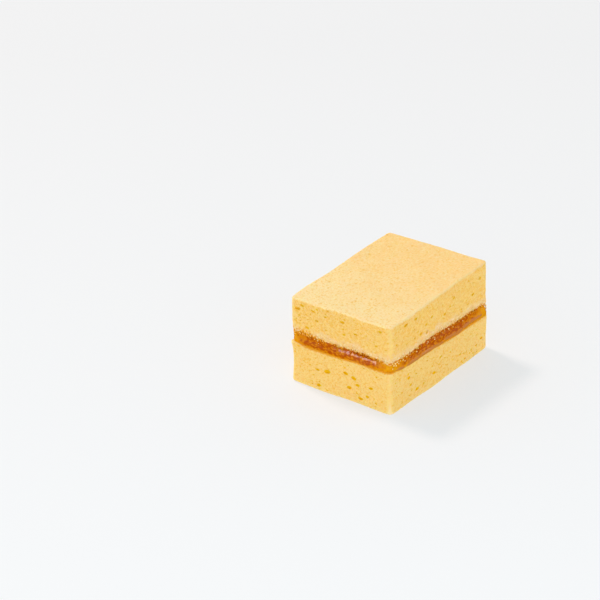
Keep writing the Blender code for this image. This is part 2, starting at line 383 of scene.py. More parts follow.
def settled(corners, x, y, seed):
    """A sloping face with the slow unevenness of baked crumb."""
    return height_at(corners, x, y) + CRUMB_SETTLE * ripple(x, y, 0, SETTLE_WAVELENGTH, seed)


def from_corner(x, y, x_side, y_side):
    """How far a place in plan is from the upright corner on these sides, each -1 or 1."""
    return math.hypot(x - x_side * LENGTH / 2, y - y_side * WIDTH / 2)


def lower_top(x, y):
    nose = falling(from_corner(x, abs(y), -1, 1), NOSE_REACH)
    return settled(LOWER_TOP, x, y, 1) + NOSE_LIFT * nose


def depth_inside(x, y):
    """How far a place in plan lies inside the slice's rounded outline."""
    past_x = abs(x) - (LENGTH / 2 - CORNER_RADIUS)
    past_y = abs(y) - (WIDTH / 2 - CORNER_RADIUS)
    outside = math.hypot(max(past_x, 0), max(past_y, 0))
    return CORNER_RADIUS - outside - min(max(past_x, past_y), 0)


def corner_distance(x, y):
    """How far a place on the slice's side is from the nearest upright corner, along that side."""
    return max(LENGTH / 2 - abs(x), WIDTH / 2 - abs(y))


def cut_faces(x, y, z, swell):
    """A place in plan moved as the knife left it: wandering, bowed at mid length and swollen."""
    x_wander = CUT_WANDER * ripple(x, y, z, CUT_WAVELENGTH, 3)
    y_wander = CUT_WANDER * ripple(x, y, z, CUT_WAVELENGTH, 4)
    bow = CUT_BOW * (1 - (2 * x / LENGTH) ** 2)
    return (
        x * (1 + 2 * swell / LENGTH) + x_wander,
        y * (1 + 2 * (swell + bow) / WIDTH) + y_wander,
    )


def at_bulge(x, y):
    """1 at the -X +Y corner, 0 beyond the bulge's reach."""
    return falling(from_corner(x, y, -1, 1), BULGE_REACH)


def lower_place(x, y, share):
    """Where a point of the lower sponge goes, share being its height from 0 to 1."""
    z = blend(height_at(BOARD, x, y), lower_top(x, y), share)
    towards_right = x / LENGTH + 0.5
    swell = LAYER_SWELL * blend(share**4, EVEN_SWELL, towards_right) + BULGE * at_bulge(x, y) * share**6
    return (*cut_faces(x, y, z, swell), z)


def rounded_block(name, thickness, rims, grain, hidden_sides):
    """A block standing on z = 0 with rounded edges, evenly meshed except where nothing shows."""
    bpy.ops.object.select_all(action="DESELECT")
    size = (LENGTH, WIDTH, thickness)
    bpy.ops.mesh.primitive_cube_add(size=1, location=(0, 0, thickness / 2), scale=size)
    block = bpy.context.object
    block.name = name
    bpy.ops.object.transform_apply(location=True, rotation=True, scale=True)
    bpy.ops.object.mode_set(mode="EDIT")
    bpy.ops.mesh.select_mode(type="EDGE")
    select_in_edit(block, "edges", lambda edge: abs(edge.verts[0].co.z - edge.verts[1].co.z) > grain)
    bpy.ops.mesh.bevel(offset=CORNER_RADIUS, segments=CORNER_FACETS)
    for height, radius in zip((0, thickness), rims):
        select_in_edit(
            block,
            "edges",
            lambda edge: all(abs(end.co.z - height) < SAME_HEIGHT for end in edge.verts),
        )
        bpy.ops.mesh.bevel(offset=radius, segments=RIM_FACETS)
    bpy.ops.object.mode_set(mode="OBJECT")
    apply_modifier(block, "REMESH", mode="VOXEL", voxel_size=grain)

    bpy.ops.object.mode_set(mode="EDIT")
    bpy.ops.mesh.select_mode(type="FACE")
    for side in hidden_sides:
        select_in_edit(
            block,
            "faces",
            lambda face: face.normal.z * side > NEARLY_LEVEL
            and depth_inside(*face.calc_center_median().xy) > HIDDEN_BORDER,
        )
        bpy.ops.mesh.dissolve_faces()
        bpy.ops.mesh.quads_convert_to_tris()
    bpy.ops.object.mode_set(mode="OBJECT")
    return block


def bend(piece, thickness, place_of):
    """Moves every point of a block to its place in the slice."""
    for point in piece.data.vertices:
        point.co = place_of(point.co.x, point.co.y, point.co.z / thickness)


def mostly_small(draw, widths, leaning=2):
    """A width between two, by a seeded draw that leans towards the smaller."""
    return blend(*widths, draw.random() ** leaning)


def drawn_holes(draw, half_face, low, high):
    """Air holes for one face of a layer, spread by a seeded draw, as (along, height, width)."""
    holes = []
    while len(holes) < HOLES_PER_FACE:
        along = draw.uniform(HOLE_EDGE_MARGIN - half_face, half_face - HOLE_EDGE_MARGIN)
        height = draw.uniform(low + HOLE_EDGE_MARGIN, high - HOLE_EDGE_MARGIN)
        width = mostly_small(draw, HOLE_WIDTHS)
        if all(math.hypot(along - a, HOLE_STACKING * (height - h)) > HOLE_SPACING for a, h, _ in holes):
            holes.append((along, height, width))
    return holes


def large_holes(low_corners, high_corners, draw):
    """The large air holes of one sponge, as (outward direction, along, height, width)."""
    low, high = max(low_corners), min(high_corners)
    holes = []
    for listed, outward in ((END_HOLES, LEFT_END), (SIDE_HOLES, FRONT_SIDE)):
        for along, height, width in listed:
            if low < height * MM < high:
                holes.append((outward, along * MM, height * MM, width * MM * LISTED_HOLE_GROWTH))
    for outward in (RIGHT_END, REAR_SIDE):
        holes += [(outward, *hole) for hole in drawn_holes(draw, half_side(outward), low, high)]
    return holes


def half_side(outward):
    """Half the length of the side that faces this way."""
    return WIDTH / 2 if outward.x else LENGTH / 2


def face_place(outward, along):
    """The place in plan of a point on one of the four sides."""
    return (outward.x * LENGTH / 2, along) if outward.x else (along, outward.y * WIDTH / 2)


def fine_holes(large, low_corners, high_corners, draw):
    """The small air holes between the large ones, clear of them and of each other."""
    placed = list(large)
    for outward in SIDES:
        half_face = half_side(outward)
        for _ in range(round(FINE_HOLES * 2 * half_face / WIDTH)):
            along = draw.uniform(FINE_EDGE_MARGIN - half_face, half_face - FINE_EDGE_MARGIN)
            place = face_place(outward, along)
            low = height_at(low_corners, *place) + FINE_EDGE_MARGIN
            height = draw.uniform(low, height_at(high_corners, *place) - FINE_EDGE_MARGIN)
            width = mostly_small(draw, FINE_HOLE_WIDTHS, FINE_HOLE_LEANING)
            clear = all(
                face != outward
                or math.hypot(along - a, FINE_HOLE_STACKING * (height - h)) > FINE_HOLE_GAP * (width + w)
                for face, a, h, w in placed
            )
            if clear:
                placed.append((outward, along, height, width))
    return placed[len(large):]


def ball_matrices(holes, low_corners, high_corners, place_of, draw):
    """The place, tilt and size of the flattened ball that each air hole is cut with."""
    matrices = []
    for outward, along, height, width in holes:
        x, y = face_place(outward, along)
        low = height_at(low_corners, x, y)
        centre = place_of(x, y, (height - low) / (height_at(high_corners, x, y) - low))
        half_width = width / 2
        half_height = half_width * HOLE_FLATNESS * draw.uniform(*HOLE_FLATNESS_SPREAD)
        half_depth = width * HOLE_DEPTH_SHARE
        size = (half_depth, half_width, half_height) if outward.x else (half_width, half_depth, half_height)
        tilt = draw.uniform(-HOLE_TILT, HOLE_TILT)
        turn = Euler((tilt, 0, 0) if outward.x else (0, tilt, 0)).to_matrix().to_4x4()
        matrices.append(Matrix.Translation(centre) @ turn @ Matrix.Diagonal((*size, 1)))
    return matrices


def somewhere(draw):
    """A seeded place in the noise, so that each ball and crumb has an unevenness of its own."""
    return Vector((draw.random(), draw.random(), draw.random())) * NOISE_SPREAD


def new_piece(name, shape):
    """Puts a shape that was built into the scene as a piece of its own."""
    mesh = bpy.data.meshes.new(name)
    shape.to_mesh(mesh)
    shape.free()
    piece = bpy.data.objects.new(name, mesh)
    bpy.context.scene.collection.objects.link(piece)
    return piece


def cut_holes(piece, matrices, draw):
    """Cuts uneven balls out of a piece, and marks the points inside and around them for painted shade."""
    balls = bmesh.new()
    ball_shades = []
    for matrix in matrices:
        roundness = 2 if matrix.median_scale > FINE_BALL else 1
        made = bmesh.ops.create_icosphere(balls, subdivisions=roundness, radius=1)["verts"]
        ball_shades += [rising(max(matrix.to_scale()), 0, FULL_SHADE_HOLE) ** HOLE_SHADE_CURVE] * len(made)
        offset = somewhere(draw)
        for point in made:
            point.co *= 1 + BALL_UNEVENNESS * noise.noise(point.co * BALL_LUMPS + offset)
            point.co = matrix @ point.co
    cutter = new_piece("hole_balls", balls)
    cutter.data.attributes.new("hole_shade", "FLOAT", "POINT").data.foreach_set("value", ball_shades)
    piece.data.attributes.new("hole_shade", "FLOAT", "POINT")
    apply_modifier(piece, "BOOLEAN", operation="DIFFERENCE", solver="MANIFOLD", object=cutter)
    bpy.data.objects.remove(cutter)

    points = KDTree(len(piece.data.vertices))
    for index, point in enumerate(piece.data.vertices):
        points.insert(point.co, index)
    points.balance()
    hole_shade = piece.data.attributes["hole_shade"].data
    # Painted shade, fading off from each hole into the crumb around it.
    for matrix in matrices:
        into_ball = matrix.inverted()
        widest = max(matrix.to_scale())
        reach = 1 + HOLE_HALO / widest
        for place, index, _ in points.find_range(matrix.translation, widest * reach):
            nearness = falling((into_ball @ place).length - 1, reach - 1)
            shade = HALO_SHADE * nearness * rising(widest, 0, FULL_SHADE_HOLE)
            hole_shade[index].value = max(hole_shade[index].value, shade)


def air_holes(piece, low_corners, high_corners, place_of, draw, more_of=lambda draw: []):
    """Cuts the air holes of one sponge, large and fine, and any more balls that more_of draws."""
    large = large_holes(low_corners, high_corners, draw)
    balls = ball_matrices(large, low_corners, high_corners, place_of, draw)
    fine = fine_holes(large, low_corners, high_corners, draw)
    balls += ball_matrices(fine, low_corners, high_corners, place_of, draw)
    cut_holes(piece, balls + more_of(draw), draw)


def mark(piece, name, value_of):
    """Keeps a value for each point of a piece, worked out from its place."""
    values = piece.data.attributes.new(name, "FLOAT", "POINT")
    values.data.foreach_set("value", [value_of(*point.co) for point in piece.data.vertices])


def rising(value, low, high):
    """0 up to the low value, 1 from the high value on."""
    return max(0.0, min(1.0, (value - low) / (high - low)))


def falling(distance, reach):
    """1 at no distance, 0 at the reach and beyond."""
    return max(0.0, min(1.0, 1 - distance / reach))


def roughen(piece, depth_of):
    """Shifts every point by grain of two sizes, as deep as depth_of says for its place."""
    noise.seed_set(ROUGHNESS_SEED)
    for point in piece.data.vertices:
        coarse = noise.noise_vector(point.co / GRAIN_SIZES[0])
        fine = noise.noise_vector(point.co / GRAIN_SIZES[1] + FINE_GRAIN_SHIFT)
        point.co += (coarse + FINE_GRAIN_SHARE * fine) * depth_of(*point.co)


def millimetres(tree):
    """Places on the piece, in millimetres."""
    scaled = tree.nodes.new("ShaderNodeVectorMath")
    scaled.operation = "SCALE"
    connect(tree, scaled.inputs["Vector"], tree.nodes.new("ShaderNodeTexCoord").outputs["Object"])
    scaled.inputs["Scale"].default_value = 1 / MM
    return scaled.outputs["Vector"]


def marked(tree, name):
    """A value that was kept for each point of the piece."""
    value = tree.nodes.new("ShaderNodeAttribute")
    value.attribute_name = name
    return value.outputs["Fac"]


def rise(tree, value, low, high, least=0.0, most=1.0):
    """Goes smoothly from least to most as the value goes from low to high."""
    return ramp(tree, value, (low, high), (least, most), "SMOOTHSTEP")


def shifted(tree, place, seed, flatness):
    """The same places moved along by a seed and squeezed upright, for a pattern of its own."""
    made = tree.nodes.new("ShaderNodeMapping")
    connect(tree, made.inputs["Vector"], place)
    made.inputs["Location"].default_value = [seed * step for step in PATTERN_STEP]
    made.inputs["Scale"].default_value = (1, 1, flatness)
    return made.outputs["Vector"]


def clouds(tree, place, width, seed, detail=2.0, flatness=1.0):
    """Soft noise in patches about this many millimetres wide, averaging one half."""
    made = tree.nodes.new("ShaderNodeTexNoise")
    connect(tree, made.inputs["Vector"], shifted(tree, place, seed, flatness))
    made.inputs["Scale"].default_value = 1 / width
    made.inputs["Detail"].default_value = detail
    return made.outputs["Fac"]


def dots(tree, place, spacing, radius, seed, flatness=1.0):
    """Soft round dots of this radius, scattered about this far apart, in millimetres."""
    made = tree.nodes.new("ShaderNodeTexVoronoi")
    connect(tree, made.inputs["Vector"], shifted(tree, place, seed, flatness))
    made.inputs["Scale"].default_value = 1 / spacing
    return rise(tree, made.outputs["Distance"], radius / spacing, DOT_CORE * radius / spacing)


def patched(tree, place, colour, patches):
    """Lays soft patches of other colours over one."""
    for width, seed, detail, flatness, thin, thick, most, above in patches:
        share = rise(tree, clouds(tree, place, width, seed, detail, flatness), thin, thick, 0, most)
        colour = tint(tree, share, colour, above)
    return colour


def crumb_colour(tree, place):
    """Baked crumb: warm and pale patches, fine grain, and the dots of cells too small to be cut out."""
    colour = patched(tree, place, CRUMB_YELLOW, CRUMB_PATCHES)
    few = rise(tree, clouds(tree, place, width=4, seed=4), 0.42, 0.6, least=0.3)
    cells = dots(tree, place, spacing=1.7, radius=0.48, seed=5, flatness=1.6)
    return tint(tree, math_of(tree, "MULTIPLY", cells, few), colour, CRUMB_DEEP)


def crumb_relief(tree, place):
    """The height of the crumb's finest grain and cells."""
    cells = dots(tree, place, spacing=0.9, radius=0.5, seed=6, flatness=1.4)
    grain = clouds(tree, place, width=0.45, seed=7, detail=3)
    return math_of(tree, "SUBTRACT", grain, math_of(tree, "MULTIPLY", cells, CELL_RELIEF))


def ragged_edge(tree, place, width, seed, depth):
    """Clouds that go up and down by this depth, to make an edge ragged."""
    return rise(tree, clouds(tree, place, width, seed, detail=3), 0.3, 0.7, -depth, depth)


def stained(tree, place, colour, ragged, dark):
    """Jam soaked into the crumb, ragged where it stops: pale amber first, then dark, which is partly painted
    shade next to the jam.
    """
    soak = math_of(tree, "ADD", marked(tree, "soak"), ragged_edge(tree, place, 0.9, 8, ragged))
    colour = tint(tree, rise(tree, soak, 0.2, 0.8), colour, JAM_STAIN_PALE)
    return tint(tree, rise(tree, soak, 0.8, 1.2, most=dark), colour, JAM_STAIN_AND_SHADE_DARK)


def add_relief(tree, shader, height, strength, depth):
    """Gives a surface relief too fine for its mesh."""
    bump = tree.nodes.new("ShaderNodeBump")
    bump.inputs["Strength"].default_value = strength
    bump.inputs["Distance"].default_value = depth
    connect(tree, bump.inputs["Height"], height)
    connect(tree, shader.inputs["Normal"], bump.outputs["Normal"])


def sponge_material(name, colour_of):
    """Matt, slightly translucent crumb in the colour that colour_of paints over the baked crumb."""
    crumb, tree, shader = new_material(name)
    place = millimetres(tree)
    # Painted shade: the holes are painted a deeper yellow, for the shade inside them.
    colour = tint(tree, rise(tree, marked(tree, "hole_shade"), 0, 1), crumb_colour(tree, place), HOLE_SHADE_YELLOW)
    connect(tree, shader.inputs["Base Color"], colour_of(tree, place, colour))
    connect(tree, shader.inputs["Roughness"], rise(tree, marked(tree, "soak"), 0.6, 1.1, 0.9, 0.45))
    shader.inputs["Specular IOR Level"].default_value = 0.04
    shader.inputs["Subsurface Weight"].default_value = 0.3
    shader.inputs["Subsurface Radius"].default_value = (1.0, 0.5, 0.15)
    shader.inputs["Subsurface Scale"].default_value = 0.9 * MM
    add_relief(tree, shader, crumb_relief(tree, place), strength=0.65, depth=0.2 * MM)
    return crumb


def finish_piece(piece, material, node):
    """Smooths a piece, gives it its material and lets it stand for its node."""
    only(piece)
    bpy.ops.object.shade_smooth_by_angle(angle=CREASE_ANGLE)
    piece.data.materials.clear()
    piece.data.materials.append(material)
    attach(piece, "root")
    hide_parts(node)


# A streak of yolk that the batter kept, on the -X end.
EGG_STREAK = Vector((-35.5, 18, 13.2)) * MM
EGG_REACH = 2.6 * MM

# How deep jam has soaked in from above, how much deeper at the -X end, and how far in from there.
LOWER_SOAK = 1.1 * MM
END_SOAK = 0.5 * MM
END_SOAK_REACH = 6 * MM

# Painted highlight: the crumb is painted paler along the upright corners and the foot, most low on the -X -Y
# corner.
EDGE_HIGHLIGHT_REACH = 2.6 * MM
FOOT_HIGHLIGHT_REACH = 2.2 * MM
CORNER_HIGHLIGHT_REACH = 8 * MM
CORNER_HIGHLIGHT_HEIGHT = 10 * MM
CORNER_HIGHLIGHT_STRENGTH = 1.6


def lower_soak(x, y, z):
    """How far jam has soaked into the lower sponge at a place."""
    reach = LOWER_SOAK + END_SOAK * falling(x + LENGTH / 2, END_SOAK_REACH)
    return falling(lower_top(x, y) - z, reach) * (1 - at_bulge(x, y))


def egg_streak(x, y, z):
    return falling((Vector((x, y, z)) - EGG_STREAK).length, EGG_REACH)


def lower_edge_highlight(x, y, z):
    """How strongly the lower sponge is painted paler as a highlight at a place."""
    corner_light = falling(from_corner(x, y, -1, -1), CORNER_HIGHLIGHT_REACH) ** 0.5 * falling(z, CORNER_HIGHLIGHT_HEIGHT)
    return falling(corner_distance(x, y), EDGE_HIGHLIGHT_REACH) * (1 + CORNER_HIGHLIGHT_STRENGTH * corner_light) + falling(z, FOOT_HIGHLIGHT_REACH)


def lower_roughness(x, y, z):
    return LOWER_ROUGHNESS * min(1, z / SMOOTH_FOOT)


def lower_colour(tree, place, colour):
    """The lower layer: a streak of yolk, a pale grain, painted highlights on its edges and foot, and stains
    of jam.
    """
    colour = tint(tree, marked(tree, "egg"), colour, EGG_YELLOW)
    light = rise(tree, clouds(tree, place, 0.8, 11, 2, 1.3), 0.4, 0.62, most=0.85)
    light = math_of(tree, "SUBTRACT", light, marked(tree, "hole_shade"))
    colour = tint(tree, light, colour, CRUMB_PALE)
    # Painted highlight: paler along the edges, and palest at the foot.
    colour = tint(tree, rise(tree, marked(tree, "edge_highlight"), 0.1, 0.9, most=0.65), colour, CRUMB_DRY_AND_HIGHLIGHT)
    colour = tint(tree, rise(tree, marked(tree, "edge_highlight"), 1.0, 1.75, most=0.95), colour, RIM_HIGHLIGHT)
    return stained(tree, place, colour, ragged=0.12, dark=0)


lower_thickness = LOWER_TOP[0]
lower_rims = (BASE_RIM, JAM_SIDE_RIM)
lower_sponge = rounded_block("lower_sponge", lower_thickness, lower_rims, SPONGE_GRAIN, (-1, 1))
bend(lower_sponge, lower_thickness, lower_place)
air_holes(lower_sponge, BOARD, LOWER_TOP, lower_place, random.Random(HOLE_SEED))
mark(lower_sponge, "soak", lower_soak)
mark(lower_sponge, "egg", egg_streak)
mark(lower_sponge, "edge_highlight", lower_edge_highlight)
roughen(lower_sponge, lower_roughness)
finish_piece(lower_sponge, sponge_material("chiffon crumb, lower layer", lower_colour), "sponge_bottom")


# ---------------------------------------------------------------------------------------------
# The upper layer of sponge. Its top is the pale skin that was peeled from the baking paper, pricked
# with pinholes. Its underside was torn as the sheet was split, and its shaggy crumb took up jam.

TORN_UNDERSIDE = (24.5 * MM, 22.8 * MM, 23.8 * MM, 22.0 * MM)
UPPER_TOP = (42.3 * MM, 42.7 * MM, 40.7 * MM, 40.2 * MM)
TORN_RIM = 0.6 * MM
CROWN_RIM = 0.75 * MM

# The torn rim hangs in teeth, as (depth, width), in a flap at the +X -Y corner and a point at the -X -Y one.
TEETH = ((0.25 * MM, 2.2 * MM), (0.4 * MM, 1.0 * MM))
FLAP_DROP = 2.2 * MM
FLAP_REACH = 5 * MM
POINT_DROP = 1.1 * MM
POINT_REACH = 4.5 * MM

PINHOLES = 90
PINHOLE_WIDTHS = (0.5 * MM, 1.1 * MM)
PINHOLE_DEPTH_SHARE = 0.18
PINHOLE_MARGIN = 2.5 * MM

# How high the torn crumb reaches above the jam, how much that goes up and down, and over what length.
TEAR_HEIGHT = 5.4 * MM
TEAR_WANDER = 1.6 * MM
TEAR_WAVELENGTH = 7 * MM

# The grain's depth on the clean cut, how much more it is at the tear and how much less on the skin.
CUT_ROUGHNESS = 0.11 * MM
TORN_ROUGHNESS = 0.4 * MM
SKIN_SMOOTHNESS = 0.06 * MM
SMOOTH_SKIN = 0.5 * MM

# How far jam has soaked up, then how much further at three places, each with its reach from there.
UPPER_SOAK = 0.8 * MM
SOAK_AT_END = (0.7 * MM, 5 * MM)
SOAK_AT_LEFT = (2.6 * MM, 16 * MM)
SOAK_AT_RIGHT = (1.5 * MM, 5 * MM)
RIGHT_PALENESS = 0.6

SKIN_THICKNESS = 1.1 * MM
# How far down and in the painted highlight on the top's rim reaches.
CROWN_THICKNESS = 0.9 * MM
CROWN_REACH = 1.6 * MM

SKIN_CREAM = (0.99, 0.735, 0.36)
SKIN_YELLOW = (0.98, 0.645, 0.265)
# For the skin's mottles and dots, and as painted shade inside the cut pinholes.
SKIN_MOTTLE_AND_PINHOLE_SHADE = (0.92, 0.53, 0.10)
SKIN_LIGHT = (0.98, 0.78, 0.42)
TORN_PINK = (0.93, 0.62, 0.26)
TORN_LIGHT = (0.98, 0.76, 0.44)
TORN_BROWN = (0.68, 0.31, 0.035)

# The torn crumb's shreds, fibres and specks, as the crumb's patches, but with how torn the crumb is where
# they start and where they are in full, before how strong they get.
TORN_PATCHES = (
    (0.9, 30, 3, 1, 0.5, 0.62, 0.15, 0.6, 0.8, TORN_LIGHT),
    (0.75, 26, 3, 0.35, 0.5, 0.66, 0.5, 0.95, 0.6, CRUMB_WARM),
    (0.8, 22, 2, 1, 0.58, 0.68, 0.4, 0.9, 0.9, TORN_BROWN),
)

# The skin's mottling under and over its dots, as the crumb's patches.
SKIN_MOTTLES = ((0.9, 24, 3, 1, 0.5, 0.68, 0.6, SKIN_MOTTLE_AND_PINHOLE_SHADE),)
SKIN_GLEAMS = ((1.0, 27, 2, 1, 0.5, 0.64, 0.4, SKIN_LIGHT),)

# Over what length the skin turns from cream to yellow along X, in millimetres, and how patchy that is.
SKIN_TURN = (-40, 25)
SKIN_PATCHINESS = 9


def torn_underside(x, y):
    flap = falling(from_corner(x, y, 1, -1), FLAP_REACH)
    point = falling(from_corner(x, y, -1, -1), POINT_REACH)
    drop = FLAP_DROP * flap**2 * (3 - 2 * flap) + POINT_DROP * point**1.5
    return settled(TORN_UNDERSIDE, x, y, 2) - drop


def upper_top(x, y):
    return settled(UPPER_TOP, x, y, 5)


def upper_place(x, y, share):
    """Where a point of the upper sponge goes. It is drawn in towards its torn underside."""
    z = blend(torn_underside(x, y), upper_top(x, y), share)
    for depth, width in TEETH:
        z += depth * ripple(x, y, 0, width, 13) * (1 - share) ** 8
    swell = BULGE * at_bulge(x, y) * (1 - share) - LAYER_SWELL * (0.5 - x / LENGTH) * (1 - share) ** 5
    return (*cut_faces(x, y, z, swell), z)


def pinhole_matrices(draw):
    """The place and size of the balls that prick the skin of the top."""
    matrices = []
    for _ in range(PINHOLES):
        x = draw.uniform(PINHOLE_MARGIN - LENGTH / 2, LENGTH / 2 - PINHOLE_MARGIN)
        y = draw.uniform(PINHOLE_MARGIN - WIDTH / 2, WIDTH / 2 - PINHOLE_MARGIN)
        width = mostly_small(draw, PINHOLE_WIDTHS)
        half_size = (width / 2, width / 2, width * PINHOLE_DEPTH_SHARE)
        matrices.append(Matrix.Translation(upper_place(x, y, 1)) @ Matrix.Diagonal((*half_size, 1)))
    return matrices


def torn(x, y, z):
    """How torn the upper sponge is at a place: 1 at the jam, 0 where the clean cut starts."""
    height = TEAR_HEIGHT + TEAR_WANDER * ripple(x, y, 0, TEAR_WAVELENGTH, 12)
    return falling(z - torn_underside(x, y), height)


def upper_soak(x, y, z):
    """How far jam has soaked up into the upper sponge: in an amber strip at -X +Y, and highest at +X -Y."""
    at_end = falling(x + LENGTH / 2, SOAK_AT_END[1])
    at_left = min(1, 2 * falling(from_corner(x, y, -1, 1), SOAK_AT_LEFT[1]))
    at_right = falling(from_corner(x, y, 1, -1), SOAK_AT_RIGHT[1])
    reach = UPPER_SOAK + SOAK_AT_END[0] * at_end + SOAK_AT_LEFT[0] * at_left + SOAK_AT_RIGHT[0] * at_right
    return falling(z - torn_underside(x, y), reach) * (1 - RIGHT_PALENESS * at_right)


def skin(x, y, z):
    return falling(upper_top(x, y) - z, SKIN_THICKNESS)


def crown_highlight(x, y, z):
    """A painted highlight on the pale rim of the top, along the -X end and the -Y side."""
    inwards = min(x + LENGTH / 2, y + WIDTH / 2)
    return falling(upper_top(x, y) - z, CROWN_THICKNESS) * falling(inwards, CROWN_REACH)


def upper_roughness(x, y, z):
    """How deep the upper sponge's grain is: fine on the skin, deep where it was torn."""
    on_skin = falling(upper_top(x, y) - z, SMOOTH_SKIN)
    return CUT_ROUGHNESS + TORN_ROUGHNESS * torn(x, y, z) ** 1.3 - SKIN_SMOOTHNESS * on_skin


def torn_colour(tree, place, colour):
    """Torn crumb: pinkish and shaggy, with light shreds, warm fibres, and specks and flecks of jam."""
    how_torn = marked(tree, "torn")
    shaggy = math_of(tree, "ADD", how_torn, ragged_edge(tree, place, 1.4, 21, 0.3))
    colour = tint(tree, rise(tree, shaggy, 0.1, 0.48), colour, TORN_PINK)
    for width, seed, detail, flatness, thin, thick, hardly, fully, most, above in TORN_PATCHES:
        patch = rise(tree, clouds(tree, place, width, seed, detail, flatness), thin, thick)
        patch = math_of(tree, "MULTIPLY", patch, rise(tree, how_torn, hardly, fully, most=most))
        colour = tint(tree, patch, colour, above)
    flecks = dots(tree, place, spacing=0.95, radius=0.42, seed=29)
    flecks = math_of(tree, "MULTIPLY", flecks, rise(tree, how_torn, 0.66, 0.9))
    return tint(tree, flecks, colour, JAM_STAIN_AND_SHADE_DARK)


def skin_colour(tree, place):
    """The peeled skin: cream, yellower towards +X, finely mottled and pricked."""
    split = tree.nodes.new("ShaderNodeSeparateXYZ")
    connect(tree, split.inputs["Vector"], place)
    patchy = clouds(tree, place, width=11, seed=23, detail=3)
    patchy = rise(tree, patchy, 0.35, 0.65, -SKIN_PATCHINESS, SKIN_PATCHINESS)
    along = math_of(tree, "ADD", split.outputs["X"], patchy)
    colour = tint(tree, rise(tree, along, *SKIN_TURN), SKIN_CREAM, SKIN_YELLOW)
    colour = patched(tree, place, colour, SKIN_MOTTLES)
    colour = tint(tree, dots(tree, place, spacing=2.7, radius=0.55, seed=28), colour, SKIN_MOTTLE_AND_PINHOLE_SHADE)
    colour = patched(tree, place, colour, SKIN_GLEAMS)
    # Painted shade: the cut pinholes are darkened, for the shade inside them.
    return tint(tree, rise(tree, marked(tree, "hole_shade"), 0.2, 0.9), colour, SKIN_MOTTLE_AND_PINHOLE_SHADE)


def upper_colour(tree, place, colour):
    """The upper layer: painted highlights on its edges, the torn crumb, the skin, a painted highlight on its
    rim, and stains of jam that are partly painted shade.
    """
    colour = tint(tree, 0.12, colour, CRUMB_PALE)
    # Painted highlight along the upright edges.
    colour = tint(tree, rise(tree, marked(tree, "edge_highlight"), 0.1, 0.9, most=0.75), colour, CRUMB_DRY_AND_HIGHLIGHT)
    colour = torn_colour(tree, place, colour)
    on_top = math_of(tree, "ADD", marked(tree, "skin"), ragged_edge(tree, place, 1.6, 25, 0.3))
    colour = tint(tree, rise(tree, on_top, 0.3, 0.7), colour, skin_colour(tree, place))
    # Painted highlight on the top's rim.
    colour = tint(tree, rise(tree, marked(tree, "crown_highlight"), 0.2, 0.9, most=0.5), colour, RIM_HIGHLIGHT)
    # Partly painted shade: the dark stain along the jam also stands for the shade under the torn rim.
    return stained(tree, place, colour, ragged=0.4, dark=1)


upper_thickness = UPPER_TOP[0] - TORN_UNDERSIDE[0]
upper_sponge = rounded_block("upper_sponge", upper_thickness, (TORN_RIM, CROWN_RIM), SPONGE_GRAIN, (-1,))
bend(upper_sponge, upper_thickness, upper_place)
upper_draw = random.Random(HOLE_SEED + 1)
upper_corners = (TORN_UNDERSIDE, UPPER_TOP)
air_holes(upper_sponge, *upper_corners, upper_place, upper_draw, pinhole_matrices)
mark(upper_sponge, "soak", upper_soak)
mark(upper_sponge, "torn", torn)
mark(upper_sponge, "skin", skin)
# Painted highlight along the upright edges.
mark(upper_sponge, "edge_highlight", lambda x, y, z: falling(corner_distance(x, y), EDGE_HIGHLIGHT_REACH))
mark(upper_sponge, "crown_highlight", crown_highlight)
roughen(upper_sponge, upper_roughness)
finish_piece(upper_sponge, sponge_material("chiffon crumb, upper layer", upper_colour), "sponge_top")


# ---------------------------------------------------------------------------------------------
# The jam. Cooked apricot jam was spread between the layers, and their weight pressed it out to all
# four sides, where it laps over the lower sponge, slumps in long lips and soaks into the torn crumb.

JAM_THICKNESS = 7 * MM
JAM_RIM = 0.4 * MM
JAM_GRAIN = 0.32 * MM
JAM_SINK = 0.3 * MM
JAM_RISE = 0.4 * MM
JAM_LAP_REACH = 1.8 * MM
JAM_LAP_DROP = 0.3 * MM
JAM_LAP_CORNER = 8 * MM

# The jam's side bulges up to this share of its height. It draws back with height, except at the corners.
JAM_LIP = 0.3 * MM
JAM_LIP_SHARE = 0.55
JAM_HOLLOW = 0.7 * MM
JAM_CORNER_REACH = 4 * MM
JAM_CORNER_FULLNESS = 0.9

# Its lumps, upright ripples and grains, each with its length. Grains start from these shares of the height.
JAM_LUMP = 0.25 * MM
JAM_LUMP_LENGTH = 5.5 * MM
JAM_RIPPLE = 0.2 * MM
JAM_RIPPLE_LENGTH = 2.3 * MM
JAM_RIPPLE_STRETCH = 0.4
JAM_GRAINS = 0.12 * MM
JAM_GRAINS_LENGTH = 1.2 * MM
JAM_GRAINS_SHARES = (0.3, 0.6)

# It steps out in a shelf and back above it, at shares of the height that wander, most on the -X end.
JAM_SHELF = 0.8 * MM
SHELF_SHARE = 0.3
LEDGE_DEPTH = 1.7 * MM
LEDGE_SHARES = (0.6, 0.8)
LEDGE_WANDERS = ((0.07, 4 * MM, 33), (0.04, 1.5 * MM, 34))
LEDGE_MIDDLE = -8 * MM
LEDGE_REACH = 13 * MM
LEDGE_WAVELENGTH = 15 * MM
FRONT_LEDGE_SHARE = 0.3

# How far the jam is drawn in at the corners: (-X -Y), (+X -Y), (-X +Y), (+X +Y).
JAM_CORNER_DROPS = (0.3 * MM, -0.1 * MM, 0.1 * MM, 0.2 * MM)

# How far the jam is thin on either side of those corners, and how thin at them.
JAM_THIN_REACHES = (14 * MM, 19 * MM, 9 * MM, 14 * MM)
JAM_THIN_SHARE = 0.2

# It looks thick from this share of its height on. The face of the -X end starts out this thick.
THICK_SHARE = 0.45
END_THICKNESS = 0.42
END_FACE_DEPTH = 2 * MM

